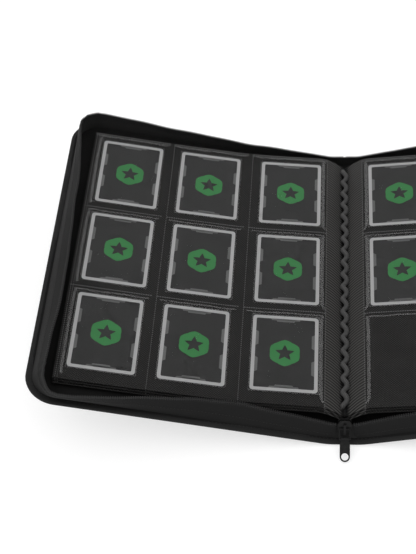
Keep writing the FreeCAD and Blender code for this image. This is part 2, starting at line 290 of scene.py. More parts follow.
def case_layer(side, inset, low, high, bow=0.0, start=0.0, columns=41):
    """A flat layer of the case between two heights; bow swells its lower face."""
    d = case_stations(inset, start)
    share = np.linspace(-1, 1, columns)
    share = np.sign(share) * (1 - (1 - np.abs(share)) ** 1.6)
    dd = np.repeat(d[:, None], columns, 1)
    yy = case_half(dd, inset) * share[None, :]
    swell = np.minimum(case_half(dd) - np.abs(yy), case_end - dd) / 26.0
    swell = bow * ease(swell) * ease((dd - hinge_x - 3) / 30.0)
    return case_point(side, dd, yy, high + 0 * dd), case_point(side, dd, yy, low - swell)


def route(inset, start_tail, start_head, step=4.0):
    """Round the tray from the tail of the spine to its head: (d, y, outward d, outward y, key).

    key runs 0..1 along the tail, 1..2 round its corner, 2..3 along the fore edge, 3..4 round
    the head corner and 4..5 back along the head."""
    straight = case_end - cover_corner
    half = half_length - inset
    side = half_length - cover_corner
    radius = cover_corner - inset
    tail = np.r_[np.arange(start_tail, 40, 2.0), np.arange(40, straight, step), straight]
    turns = np.linspace(0, math.pi / 2, 13)[1:]
    fore = np.linspace(-side, side, int(2 * side / step))[1:]
    head = np.r_[np.arange(start_head, 40, 2.0), np.arange(40, straight, step)][::-1]
    rows = [(d, -half, 0.0, -1.0, (d - start_tail) / (straight - start_tail)) for d in tail]
    rows += [(straight + radius * math.sin(t), -side - radius * math.cos(t), math.sin(t),
              -math.cos(t), 1 + t / (math.pi / 2)) for t in turns]
    rows += [(straight + radius, y, 1.0, 0.0, 2 + (y + side) / (2 * side)) for y in fore]
    rows += [(straight + radius * math.cos(t), side + radius * math.sin(t), math.cos(t),
              math.sin(t), 3 + t / (math.pi / 2)) for t in turns]
    rows += [(d, half, 0.0, 1.0, 4 + (straight - d) / (straight - start_head)) for d in head]
    return np.array(rows)


def rim_height(d):
    """Height of the teeth above the case's mid-plane."""
    s = d - hinge_x
    return (hinge_x - zip_gap + s * math.sin(close_wedge)) / math.cos(close_wedge)


lean_keys = (0.0, 0.12, 0.36, 0.5, 0.72, 0.88, 0.94, 1.0, 1.12, 1.25, 1.5, 1.75, 2.0, 2.1, 2.16,
             2.3, 2.5, 2.8, 2.96, 3.0, 4.0, 4.1, 4.3, 4.6, 4.8, 5.0)
lean_values = (6.0, 9.0, 13.0, 10.5, -0.5, -8.5, -11.0, -12.0, -9.0, -3.0, 5.0, 9.0, 10.5, 11.0,
               12.5, 14.6, 12.0, 8.5, 3.0, 1.0, 0.5, 1.5, 4.0, 6.0, 3.0, 1.0)
bow_keys = (0.0, 0.4, 1.0, 2.0, 2.4, 3.0, 4.0, 4.5, 5.0)
bow_values = (0.3, 1.2, 0.8, 0.6, 1.8, 0.4, 0.2, 1.0, 0.3)


class Wall:
    """The standing cloth wall of one side."""

    def __init__(self, side):
        self.side = side
        self.rows = route(flange, 8.0, 0.0)
        key = self.rows[:, 4]
        self.lean = smoothed(np.interp(key, lean_keys, lean_values), 1)
        self.bow = np.interp(key, bow_keys, bow_values)
        ripple = 0.35 * np.sin(key * 21.0) + 0.25 * np.sin(key * 37.0 + 1.0)
        self.lean += ripple * np.interp(key, (0, 0.1, 4.9, 5), (0, 1, 1, 0))

    def cloth(self, share):
        """Height of a share of the cloth that stands below the tape."""
        low = shell_t / 2
        return low + share * (self.under(teeth_w + tape_w) - low)

    def under(self, depth):
        """Height of a depth under the rim."""
        return rim_height(self.rows[:, 0]) - depth

    def line(self, height, inward):
        """Points at a height, set in from the wall's outer face."""
        d, y, out_d, out_y, _ = self.rows.T
        share = (height - shell_t / 2) / (self.under(0.0) - shell_t / 2)
        move = inward + self.lean * share - self.bow * np.sin(math.pi * share)
        return case_point(self.side, d - out_d * move, y - out_y * move, height)

    def band(self, heights, outer, thickness):
        """Closed sections of one layer of the wall through the heights."""
        outside = [self.line(height, outer) for height in heights]
        inside = [self.line(height, outer + thickness) for height in heights[::-1]]
        return np.stack(outside + inside, axis=1)


# ================================================================ leaves

def leaf_curve():
    """Top face of a leaf as (developed length, x, z), with its bends softened."""
    step = 0.5
    along = np.arange(0, leaf_w + step, step)
    edges = np.cumsum([0.0] + [length for length, _ in leaf_runs])
    slopes = np.array([slope for _, slope in leaf_runs])
    slope = slopes[np.clip(np.searchsorted(edges, along + step / 2) - 1, 0, len(slopes) - 1)]
    slope = np.radians(np.where(along < 26, smoothed(slope, 8), smoothed(slope, 12)))
    x = leaf_root[0] + np.r_[0, np.cumsum(np.cos(slope[:-1]) * step)]
    z = leaf_root[1] + np.r_[0, np.cumsum(np.sin(slope[:-1]) * step)]
    return along, x, z


curve_along, curve_x, curve_z = leaf_curve()


def leaf_point(side, along, y, depth):
    """A point a depth under a leaf's top face."""
    along, y, depth = np.broadcast_arrays(np.asarray(along, float), y, depth)
    x = np.interp(along, curve_along, curve_x)
    z = np.interp(along, curve_along, curve_z)
    return np.stack([side * x, y, z - depth], -1)


def leaf_span(index):
    """Tail and head of a leaf."""
    return -leaf_length / 2 - index * leaf_fan, leaf_length / 2 - index * leaf_fan


def pouch_height(index, row=0, filled=1):
    """Height of a pocket: only the top leaf's filled rows stand up."""
    return pouch_full if index == 0 and row < filled else pouch_empty


def row_bounds(index):
    """Tail and head of each row of pockets, head row first."""
    tail, head = leaf_span(index)
    upper, lower = row_seams
    return [(upper, head - leaf_hem), (lower, upper), (tail + leaf_hem, lower)]


def lines_between(low, high, edge):
    """Grid lines of a pouch: close at both edges, one wide field between them."""
    near = np.array([0.0, 0.6, 1.4, 2.4, 3.6, 5.0]) * edge / 5.0
    return np.r_[low + near, np.linspace(low + edge, high - edge, 5)[1:-1], (high - near)[::-1]]


def pouch_depth(along, y, index, column, filled):
    """How far the film's top face lies under the top face of the leaf."""
    a, b = np.meshgrid(along, y, indexing="ij")
    floor = leaf_drops[index] + pouch_height(index)
    depth = np.full(a.shape, floor)
    centre = column_starts[column] + column_w / 2 + (middle_shift if column == 1 else 0.0)
    for row, (low, high) in enumerate(row_bounds(index)):
        inside = (b >= low) & (b <= high)
        lift = pouch_height(index, row, filled)
        outer = ease((welds[column] - 1.2 - a) / 4.0)
        ends = ease((b - low - 1.4) / 4.0) * ease((high - 1.4 - b) / 4.0)
        sag = 0.25 * ease((np.abs(a - centre) - 31.5) / 8.0)
        crease = 0.12 * np.sin(b / 9.0 + column * 2 + row) * ease((np.abs(a - centre) - 32) / 3)
        depth = np.where(inside, floor - lift * outer * ends * (1 - sag) + crease * ends * outer,
                         depth)
    return depth


# ================================================================ shader tools

class Value:
    """A socket of a material's tree that takes part in plain expressions."""

    def __init__(self, finish, socket):
        self.finish = finish
        self.socket = socket

    def math(self, operation, *inputs):
        return self.finish.node("ShaderNodeMath", {"operation": operation},
                                dict(enumerate(inputs)))

    def __add__(self, other):
        return self.math("ADD", self, other)

    def __sub__(self, other):
        return self.math("SUBTRACT", self, other)

    def __rsub__(self, other):
        return self.math("SUBTRACT", other, self)

    def __mul__(self, other):
        return self.math("MULTIPLY", self, other)

    __radd__ = __add__
    __rmul__ = __mul__

    def sine(self):
        return self.math("SINE", self)

    def stripes(self, pitch):
        """Even stripes from 0 to 1 at a pitch in millimetres."""
        return (self * (2 * math.pi / pitch)).sine() * 0.5 + 0.5

    def between(self, low, high):
        """0 below low and 1 above high, smoothly."""
        return self.finish.node("ShaderNodeMapRange", {"interpolation_type": "SMOOTHSTEP"},
                                {0: self, 1: low, 2: high, 3: 0.0, 4: 1.0})


class Finish:
    """One material and its node tree."""

    def __init__(self, name):
        self.material = bpy.data.materials.new(name)
        self.material.use_nodes = True
        self.tree = self.material.node_tree
        self.tree.nodes.clear()
        self.out = self.tree.nodes.new("ShaderNodeOutputMaterial")

    def node(self, kind, settings=None, inputs=None, output=0):
        """Adds a node: its settings first, then the values or links of its sockets."""
        made = self.tree.nodes.new(kind)
        for key, value in (settings or {}).items():
            setattr(made, key, value)
        for key, value in (inputs or {}).items():
            if isinstance(value, Value):
                self.tree.links.new(value.socket, made.inputs[key])
            else:
                made.inputs[key].default_value = value
        return Value(self, made.outputs[output])

    def mix(self, factor, first, second):
        """Colours mixed by a factor."""
        return self.node("ShaderNodeMix", {"data_type": "RGBA"}, {0: factor, 6: first, 7: second},
                         output=2)

    def place(self):
        """The point on the piece at rest, in millimetres."""
        spot = self.node("ShaderNodeTexCoord", output="Object")
        return self.node("ShaderNodeVectorMath", {"operation": "SCALE"}, {0: spot, "Scale": 1000})

    def flat(self):
        """The point on the flattened piece, in millimetres: (along, across)."""
        spot = self.node("ShaderNodeUVMap", {"uv_map": "flat"})
        along = self.node("ShaderNodeSeparateXYZ", None, {0: spot})
        return along, Value(self, along.socket.node.outputs[1])

    def noise(self, where, size, detail=3.0, roughness=0.55):
        """Soft noise, from 0 to 1, with features of a size in millimetres."""
        return self.node("ShaderNodeTexNoise", None,
                         {"Vector": where, "Scale": 1 / size, "Detail": detail,
                          "Roughness": roughness})

    def shade(self, base, roughness, gloss, height=None, depth=0.2, plain=None):
        """The shader: gloss is the specular level, height is in 0..1, depth in millimetres."""
        inputs = {"Base Color": base, "Roughness": roughness, "Specular IOR Level": gloss}
        inputs.update(plain or {})
        if height is not None:
            inputs["Normal"] = self.node("ShaderNodeBump", None,
                                         {"Strength": 1.0, "Distance": depth * MM,
                                          "Height": height})
        surface = self.node("ShaderNodeBsdfPrincipled", None, inputs)
        self.tree.links.new(surface.socket, self.out.inputs["Surface"])
        return self.material


def grey(level, warm=0.0):
    return (level * (1 + warm), level, level * (1 - warm), 1.0)


# ================================================================ finishes

def leatherette(name, level, grain=1.0):
    """Matt synthetic leather: pebbled grain, worn a little lighter in patches."""
    made = Finish(name)
    where = made.place()
    cells = made.node("ShaderNodeTexVoronoi", {"feature": "DISTANCE_TO_EDGE"},
                      {"Vector": where, "Scale": 1 / (1.1 * grain)})
    fine = made.noise(where, 0.35 * grain)
    wear = made.noise(where, 38.0, 4.0)
    grain_height = cells.between(0.0, 0.35) * 0.7 + fine * 0.3
    base = made.mix(wear.between(0.4, 0.75), grey(level * 0.86), grey(level * 1.25, 0.01))
    rough = 0.5 + 0.12 * wear + 0.06 * fine
    return made.shade(base, rough, 0.14, grain_height, 0.11)


def wall_cloth(name, level):
    """Close plain weave with a soft nap; the foot of its outer face is painted darker as shade."""
    made = Finish(name)
    along, across = made.flat()
    warp = (along * (2 * math.pi / 0.8)).sine()
    weft = (across * (2 * math.pi / 0.8)).sine()
    weave = warp * weft * 0.5 + 0.5
    nap = made.noise(made.place(), 0.6)
    cloud = made.noise(made.place(), 26.0, 4.0)
    # painted shade: the first 4.4 to 5.4 mm up the outer face is darker than the rest of the wall,
    # as the crevice by the cover's edge
    base = made.mix(weave * 0.3 + cloud * 0.3 + across.between(4.4, 5.4) * 0.4,
                    grey(level * 0.75), grey(level * 2.4, 0.01))
    return made.shade(base, 0.72 + 0.12 * nap, 0.1, weave * 0.6 + nap * 0.4, 0.09,
                      {"Sheen Weight": 0.03, "Sheen Roughness": 0.5})


def brushed_lining(name, level):
    made = Finish(name)
    where = made.place()
    fibres = made.noise(where, 0.5, 5.0, 0.7)
    cloud = made.noise(where, 34.0, 3.0)
    base = made.mix(cloud, grey(level * 0.75), grey(level * 1.3, 0.01))
    return made.shade(base, 0.86 + 0.08 * fibres, 0.06, fibres, 0.12, {"Sheen Weight": 0.02})


def zip_weave(name, level):
    """Twill zip tape with a rib along each edge; its top edge and inner face are painted lighter
    as highlight.
    """
    made = Finish(name)
    along, across = made.flat()
    twill = (along + across).stripes(0.9)
    rib = across.stripes(2.3)
    # painted highlight: from the top of the outer face over onto the inner face the tape is
    # lighter, as light along the rim
    base = made.mix(twill * 0.5 + across.between(7.6, 9.0) * 0.5, grey(level * 0.7),
                    grey(level * 2.1))
    return made.shade(base, 0.7 + 0.1 * twill, 0.1, twill * 0.7 + rib * 0.3, 0.1)


def moulded(name, level, roughness, gloss=0.4):
    made = Finish(name)
    where = made.place()
    fine = made.noise(where, 0.25)
    cloud = made.noise(where, 9.0)
    base = made.mix(cloud, grey(level * 0.8), grey(level * 1.25))
    return made.shade(base, roughness + 0.1 * fine, gloss, fine, 0.03)


def embossed_sheet(name, level):
    """Leaf sheet: slanting ribs, wide beside the gutter and fine under the pockets; their shading
    is painted in, as is shade at the root and cut edges.
    """
    made = Finish(name)
    along, across = made.flat()
    pocketed = along.between(16.4, 17.4)
    wide = (across - along * 0.35).stripes(3.3)
    fine = (along + across).stripes(2.5)
    cross = (along - across).stripes(2.5)
    weave = fine * (0.3 + 0.7 * cross)
    rib = wide * (1 - pocketed) + weave * pocketed
    # painted shade: the leaf's root under the lacing, where along runs below zero, is painted dark
    bound = along.between(-5.4, -0.6)
    cloud = made.noise(made.place(), 30.0, 3.0)
    # painted shading of the embossing: the ribs' lit and shaded sides are drawn into the colour,
    # weaker under the pockets
    painted_rib_shading = (rib.between(0.1, 0.9) - 0.5) * (1 - 0.5 * pocketed)
    shade = (painted_rib_shading * 0.8 + cloud * 0.2 + 0.4 - 0.24 * pocketed) * bound
    base = made.mix(shade, grey(level * 0.2), grey(level * 2.1, 0.03))
    return made.shade(base, 0.5 + 0.14 * cloud, 0.08, rib, 0.3)


def clear_film(name, level, alpha, roughness, gloss, patches=(-1.0, 0.0)):
    """Clear plastic that shows where its haze rises through the two levels of patches."""
    made = Finish(name)
    where = made.place()
    haze = made.noise(where, 14.0, 4.0)
    ripple = made.noise(where, 22.0, 2.0)
    base = made.mix(haze, grey(level * 0.8), grey(level * 1.2, 0.01))
    return made.shade(base, roughness + 0.12 * haze, gloss, ripple, 0.5,
                      {"Alpha": haze.between(*patches) * alpha})


def printed(name, colour, roughness=0.42):
    """Ink on coated card with a faint paper tooth."""
    made = Finish(name)
    where = made.place()
    tooth = made.noise(where, 0.3)
    cloud = made.noise(where, 18.0)
    dark = tuple(channel * 0.93 for channel in colour) + (1.0,)
    light = tuple(channel * 1.06 for channel in colour) + (1.0,)
    base = made.mix(cloud * 0.7 + tooth * 0.3, dark, light)
    return made.shade(base, roughness + 0.08 * tooth, 0.25, tooth, 0.02)


def twisted_cord(name, level):
    """Yarn plies that wind round the cord."""
    made = Finish(name)
    along, across = made.flat()
    ply = (along * 0.9 + across).stripes(1.4)
    fibre = made.noise(made.place(), 0.3)
    base = made.mix(ply * 0.7 + fibre * 0.3, grey(level * 0.55), grey(level * 1.5, 0.01))
    return made.shade(base, 0.62 + 0.1 * fibre, 0.12, ply * 0.8 + fibre * 0.2, 0.2,
                      {"Sheen Weight": 0.03})


def lacquered(name, level):
    """Black lacquered zinc with rubbed high spots."""
    made = Finish(name)
    where = made.place()
    rub = made.noise(where, 5.0, 4.0)
    fine = made.noise(where, 0.4)
    base = made.mix(rub.between(0.5, 0.8), grey(level), grey(level * 2.2, 0.02))
    return made.shade(base, 0.3 + 0.16 * rub, 0.14, fine, 0.02,
                      {"Coat Weight": 0.04, "Coat Roughness": 0.25})


def cut_board(name):
    made = Finish(name)
    where = made.place()
    fibre = made.noise(where, 0.5, 6.0, 0.7)
    base = made.mix(fibre, (0.16, 0.14, 0.11, 1), (0.3, 0.26, 0.2, 1))
    return made.shade(base, 0.85 + 0.1 * fibre, 0.2, fibre, 0.08)


looks = {
    "outer_skin": (leatherette, 0.0145),
    "turned_edge": (leatherette, 0.0125, 0.8),
    "foam": (moulded, 0.04, 0.8, 0.2),
    "board": (cut_board,),
    "lining": (brushed_lining, 0.009),
    "wall_fabric": (wall_cloth, 0.0088),
    "zip_tape": (zip_weave, 0.0105),
    "zip_teeth": (moulded, 0.022, 0.45, 0.25),
    "leaf_sheet": (embossed_sheet, 0.030),
    "pocket_film": (clear_film, 0.05, 0.03, 0.22, 0.0, (0.6, 0.85)),
    # painted highlight: the lips' light grey, half opaque film stands for light caught on the
    # film's sloping flanks
    "film_lip": (clear_film, 0.2, 0.2, 0.35, 0.3),
    "sleeve_film": (clear_film, 0.05, 0.03, 0.25, 0.0, (0.6, 0.85)),
    "sleeve_weld": (clear_film, 0.16, 0.3, 0.35, 0.3),
    "card": (printed, (0.0175, 0.0175, 0.0175)),
    "card_border": (printed, (0.335, 0.335, 0.335), 0.5),
    "card_tab": (printed, (0.10, 0.10, 0.10)),
    "card_emblem": (printed, (0.027, 0.160, 0.045)),
    "binding": (zip_weave, 0.012),
    "lacing": (twisted_cord, 0.058),
    "slider_metal": (lacquered, 0.006),
    "thread": (twisted_cord, 0.015),
    "weld_dot": (moulded, 0.085, 0.4, 0.3),
}
finishes = {name: make(name, *values) for name, (make, *values) in looks.items()}


def set_piece(piece, slot, finish=None, body=None, replaces=()):
    """Gives a piece its finish, chosen by slot unless one is named, and its place in the motion.
    """
    piece.data.materials.clear()
    piece.data.materials.append(finishes[finish or slot])
    if body:
        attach(piece, body)
    if replaces:
        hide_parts(*replaces)
    return piece


# ================================================================ case, walls and zip


def hinge_blend(piece):
    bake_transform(piece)


def stitches(points, normals, length, radius, pitch):
    """Thread stitches laid along a line of points."""
    made = Shape()
    along = lengths_along(points)
    for start in np.arange(pitch, along[-1] - pitch, pitch):
        spots = np.linspace(start, start + length, 5)
        rise = np.sin(np.linspace(0, math.pi, 5)) * radius * 1.3 - radius
        path = sampled(points, along, spots) + sampled(normals, along, spots) * rise[:, None]
        made.sweep(tube(path, radius, 6))
    return made


def make_case(cover, side):
    """Padded outer skin, lining and turned edge of one half of the case."""
    skin = Shape()
    top, under = case_layer(side, 2.4, -shell_t / 2 + 0.9, -shell_t / 2 + 0.05, plate_bow)
    skin.shell(top, under)
    piece = set_piece(skin.make(cover + "_case_skin"), "outer_skin",
                      replaces=(cover + "_cover_skin", "spine_skin"))
    hinge_blend(piece)

    lining = Shape()
    top, under = case_layer(side, 4.0, shell_t / 2 - 0.5, shell_t / 2 + 0.02)
    puff = 0.35 * np.sin(top[..., 1] / 41.0) * np.sin(top[..., 0] / 37.0)
    top[..., 2] += puff * ease((np.abs(top[..., 0]) - 25) / 20)
    lining.shell(top, under)
    piece = set_piece(lining.make(cover + "_case_lining"), "lining",
                      replaces=(cover + "_cover_lining", "spine_lining"))
    hinge_blend(piece)

    rows = route(roll_r, 0.0, 0.0, 4.0)
    sections = []
    for d, y, out_d, out_y, _ in rows:
        middle = case_point(side, d, y, 0.0)
        out = case_point(side, d + 0.1 * out_d, y + 0.1 * out_y, 0.0) - middle
        out /= np.linalg.norm(out)
        up = case_point(side, d, y, 1.0) - middle
        sections.append(round_section(middle - out * 1.6, out, up, roll_r + 1.6, roll_half, 16,
                                      0.75))
    roll = Shape()
    roll.sweep(sections)
    piece = set_piece(roll.make(cover + "_turned_edge"), "turned_edge",
                      replaces=(cover + "_cover_edge",))
    hinge_blend(piece)

    rows = route(flange - 1.3, 0.0, 0.0, 4.0)
    line = case_point(side, rows[:, 0], rows[:, 1], roll_half - 0.1)
    raised = case_point(side, rows[:, 0], rows[:, 1], roll_half + 0.9) - line
    thread = stitches(line, raised, 2.6, 0.28, 3.6)
    piece = set_piece(thread.make(cover + "_edge_stitches"), "turned_edge", "thread")
    hinge_blend(piece)


def make_wall(cover, side):
    """Cloth wall, its zip tape, teeth and stitch line."""
    wall = Wall(side)
    body = Shape()
    depth = teeth_w + tape_w
    heights = [wall.cloth(share) for share in np.linspace(0, 1, 8)]
    body.sweep(wall.band(heights, 0.0, wall_t))
    replaced = [cover + "_wall_" + part for part in ("bottom", "side", "top")]
    piece = set_piece(body.make(cover + "_wall"), "wall_fabric",
                      replaces=replaced + ["spine_gusset_top"])
    hinge_blend(piece)

    tape = Shape()
    heights = [wall.under(down) for down in np.linspace(depth + 0.5, teeth_w - 0.4, 5)]
    tape.sweep(wall.band(heights, 0.06, wall_t - 0.12))
    piece = set_piece(tape.make(cover + "_zip_weave"), "zip_tape", replaces=(cover + "_zip_tape",))
    hinge_blend(piece)

    low = wall.line(wall.under(teeth_w), wall_t / 2)
    high = wall.line(wall.under(0.05), wall_t / 2)
    along = lengths_along(high)
    spots = np.arange(0.5, along[-1], tooth_pitch)
    foot = sampled(low, along, spots)
    tip = sampled(high, along, spots)
    ahead = unit(sampled(high, along, spots + 0.5) - sampled(high, along, spots - 0.5))
    rise = tip - foot
    across = unit(np.cross(ahead, rise))
    turns = np.linspace(0, 2 * math.pi, 8, endpoint=False)
    ring = np.stack([0.62 * np.cos(turns), 1.15 * np.sin(turns)], -1)
    layers = ((0.0, 0.8), (0.45, 0.8), (0.62, 1.15), (0.9, 1.1), (1.0, 0.75))   # height, size
    points = [(c * k, s * k, level) for level, k in layers for c, s in ring]
    faces = [tuple(range(8))[::-1], tuple(range(32, 40))]
    faces += [(8 * n + i, 8 * n + (i + 1) % 8, 8 * n + 8 + (i + 1) % 8, 8 * n + 8 + i)
              for n in range(4) for i in range(8)]
    teeth = Shape()
    teeth.copies(points, faces, foot, np.stack([ahead, across, rise], axis=1))
    core = np.stack([(foot * 0.75 + tip * 0.25) + k * across for k in (-0.5, 0.5)] +
                    [(foot * 0.55 + tip * 0.45) + k * across for k in (0.5, -0.5)], axis=1)
    teeth.sweep(core)
    piece = set_piece(teeth.make(cover + "_zip_row"), "zip_teeth",
                      replaces=(cover + "_zip_teeth", cover + "_zip_end_stop"))
    hinge_blend(piece)

    line = wall.line(wall.under(depth + 0.9), -0.12)
    inner = wall.line(wall.under(depth + 0.9), 0.6)
    thread = stitches(line, unit(line - inner), 2.2, 0.22, 3.2)
    piece = set_piece(thread.make(cover + "_zip_stitches"), "wall_fabric", "thread")
    hinge_blend(piece)


# ================================================================ leaves and cards

def leaf_name(hand, index):
    return "%s_leaf_%d" % (hand, index + 1)


def leaf_body(hand, index):
    if hand == "right":
        return "right_leaves"
    return "top_leaf" if index == 0 else "left_leaves"


def leaf_shell(shape, side, a, b, depth, thickness):
    """A thin layer of a leaf over a grid of its flat coordinates."""
    shape.shell(leaf_point(side, a, b, depth), leaf_point(side, a, b, depth + thickness),
                np.stack([a, b], -1))


def make_sheet(hand, side, index):
    low, high = leaf_span(index)
    along = np.r_[np.arange(0, 30, 1.5), np.linspace(30, leaf_w, 60)]
    y = np.linspace(low, high, 33)
    a, b = np.meshgrid(along, y, indexing="ij")
    sheet = Shape()
    leaf_shell(sheet, side, a, b, leaf_drops[index] + film_t + pouch_height(index), sheet_t)
    return set_piece(sheet.make("%s_page_%d" % (hand, index + 1)), "leaf_sheet",
                     body=leaf_body(hand, index),
                     replaces=(leaf_name(hand, index) + "_sheet",))


def make_film(hand, side, index, filled):
    """Clear pocket film of both faces, with its lips painted bright as highlights."""
    node = leaf_name(hand, index)
    body = leaf_body(hand, index)
    film = Shape()
    lips = Shape()
    for column in range(3):
        mouth = column_starts[column] - lip_margin
        along = np.r_[mouth + np.array([0, 0.8, 2.2, 4.5]),
                      lines_between(mouth + 6.0, welds[column], 6.5), film_ends[column]]
        y = np.concatenate([lines_between(a, b, 6.5) for a, b in row_bounds(index)[::-1]])
        y = np.unique(np.round(y, 4))
        depth = pouch_depth(along, y, index, column, filled)
        a, b = np.meshgrid(along, y, indexing="ij")
        leaf_shell(film, side, a, b, depth, film_skin)
        for row, (low, high) in enumerate(row_bounds(index)):
            lift = pouch_height(index, row, filled)
            level = leaf_drops[index] + pouch_height(index) - lift
            add_lips(lips, side, column, (low, high), level, lift)
    set_piece(film.make(node + "_film"), "pocket_film", body=body,
              replaces=(node + "_front_pockets",))
    # The lips' light finish is painted highlight on the film's flanks.
    set_piece(lips.make(node + "_film_lips"), "pocket_film", "film_lip", body=body)
    make_rear_film(hand, side, index)


def add_lips(lips, side, column, span, level, lift):
    """Raised edges of the film, finished light grey as painted highlight: along the head of each
    pocket and at the leaf's two sides.
    """
    low, high = span
    mouth = column_starts[column] - lip_margin
    ends = np.array([low + 4.5, low + 9.0, (low + high) / 2, high - 9.0, high - 4.5])
    dip = np.array([lift * 0.8, 0.05, 0.0, 0.05, lift * 0.8])
    fine = np.linspace(ends[0], ends[-1], 25)
    dips = np.interp(fine, ends, dip)
    edges = []
    if column == 0:
        bend = np.interp(fine, ends, (-1.8, 0.9, 1.3, 1.0, 0.3))
        edges.append((mouth + 0.2 + bend, 3.2, 0.14))
    if column == 2:
        bend = np.interp(fine, ends, (-0.6, 0.0, 0.4, 0.1, -1.4))
        edges.append((welds[2] - 6.9 + bend, 2.8, 0.14))
    share = np.linspace(0, 1, 5)
    for start, width, proud in edges:
        a = start[:, None] + width * share[None, :]
        b = np.repeat(fine[:, None], 5, 1)
        deep = level + dips[:, None] - proud * np.sin(math.pi * share)[None, :]
        leaf_shell(lips, side, a, b, deep, lip_skin)
    across = np.linspace(mouth + 1.5, welds[column] - 4.0, 21)
    wave = 0.25 * np.sin(across / 7.0 + column)
    a = np.repeat(across[:, None], 5, 1)
    b = high - 5.4 + wave[:, None] + 1.7 * share[None, :]
    deep = level + lift * 0.25 * share[None, :] - 0.12 * np.sin(math.pi * share)[None, :] + 0 * a
    leaf_shell(lips, side, a, b, deep, lip_skin)


def make_rear_film(hand, side, index):
    node = leaf_name(hand, index)
    low, high = leaf_span(index)
    depth = leaf_drops[index] + film_t + pouch_height(index) + sheet_t + pouch_empty
    film = Shape()
    for column in range(3):
        along = np.linspace(column_starts[column] - lip_margin, film_ends[column], 22)
        a, b = np.meshgrid(along, np.linspace(low, high, 17), indexing="ij")
        leaf_shell(film, side, a, b, depth, film_skin)
    set_piece(film.make(node + "_rear_film"), "pocket_film", body=leaf_body(hand, index),
              replaces=(node + "_rear_pockets",))


def make_welds(hand, side, index, rear=False):
    """Raised heat-weld dots along the edges of the pockets, on the front or rear of a leaf."""
    low, high = leaf_span(index)
    depth = leaf_drops[index] + pouch_height(index)
    if rear:
        depth += film_t + sheet_t + pouch_empty
    pitch = 2.3
    spots = []
    rows = [high - 1.4, high - 3.4, *row_seams]
    for y in rows:
        for column in range(3):
            start = column_starts[column] - lip_margin
            spots += [(a, y, True) for a in np.arange(start, welds[column], pitch)]
    for a in (column_starts[0] - lip_margin - 1.2, welds[0] - 0.8, welds[1] - 0.8,
              welds[2] - 0.8, welds[2] - 2.9):
        spots += [(a, y, False) for y in np.arange(low + 2.0, high - 2.0, pitch)]
    turns = np.linspace(0, 2 * math.pi, 6, endpoint=False)
    points = [(0.8 * math.cos(t), 0.8 * math.sin(t), -0.12) for t in turns]
    points += [(0.5 * math.cos(t), 0.5 * math.sin(t), 0.22) for t in turns]
    faces = [(5, 4, 3, 2, 1, 0), (6, 7, 8, 9, 10, 11)]
    faces += [(i, (i + 1) % 6, 6 + (i + 1) % 6, 6 + i) for i in range(6)]
    data = np.array([(a, y) for a, y, _ in spots])
    places = leaf_point(side, data[:, 0], data[:, 1], depth)
    ahead = unit(leaf_point(side, data[:, 0] + 0.4, data[:, 1], depth) - places)
    up = np.cross(ahead, np.array([0.0, 1.0, 0.0])) * side
    up *= np.sign(up[:, 2])[:, None] * (-1 if rear else 1)
    lying = np.array([lies for _, _, lies in spots])
    across, length = np.where(lying, 1.35, 0.55), np.where(lying, 0.75, 0.95)
    axes = np.stack([ahead * across[:, None], np.array([[0.0, 1.0, 0.0]]) * length[:, None], up],
                    axis=1)
    dots = Shape()
    dots.copies(points, faces, places, axes)
    name = leaf_name(hand, index) + ("_rear_welds" if rear else "_welds")
    set_piece(dots.make(name), "leaf_sheet", "weld_dot", leaf_body(hand, index))


def card_place(side, column, row, points):
    """From a card's own plane to its pocket: u across, v along the page, w up."""
    shift = middle_shift if column == 1 else 0.0
    middle = leaf_point(side, column_starts[column] + column_w / 2 + shift, row_middles[row],
                        film_t + pouch_full / 2)
    slope = math.radians(column_slopes[column])
    u, v, w = np.asarray(points, float).T
    return middle + np.stack([side * (u * math.cos(slope) - w * math.sin(slope)), v,
                              u * math.sin(slope) + w * math.cos(slope)], -1)


def rounded(width, length, radius, steps=6):
    """A rounded rectangle's outline about the origin."""
    points = []
    for quarter, (cx, cy) in enumerate(((1, 1), (-1, 1), (-1, -1), (1, -1))):
        turns = math.pi / 2 * (quarter + np.linspace(0, 1, steps))
        points += [(cx * (width / 2 - radius) + radius * math.cos(t),
                    cy * (length / 2 - radius) + radius * math.sin(t)) for t in turns]
    return np.array(points)


def at_height(outline, w):
    return np.c_[outline, np.full(len(outline), w)]


def plate_points(outline, low, high, bevel=0.06):
    """Sections of a thin plate with a softened edge."""
    inner = outline * (1 - bevel / np.abs(outline).max())
    return [at_height(inner, low), at_height(outline, low + bevel),
            at_height(outline, high - bevel), at_height(inner, high)]


def star_outline(outer, inner, points, count=120):
    """A star sampled at even angles, so that two stars of one count can be joined."""
    turns = np.linspace(0, 2 * math.pi, count, endpoint=False) + math.pi / 2
    share = np.linspace(0, points, count, endpoint=False) % 1.0
    tip = np.abs(share * 2 - 1)
    radius = inner * outer / (inner * tip + outer * (1 - tip))
    return np.stack([radius * np.cos(turns), radius * np.sin(turns)], -1)


def tab_outline(length, depth, slant):
    return np.array([(0, -length / 2), (depth, -length / 2 + slant), (depth, length / 2 - slant),
                     (0, length / 2)])


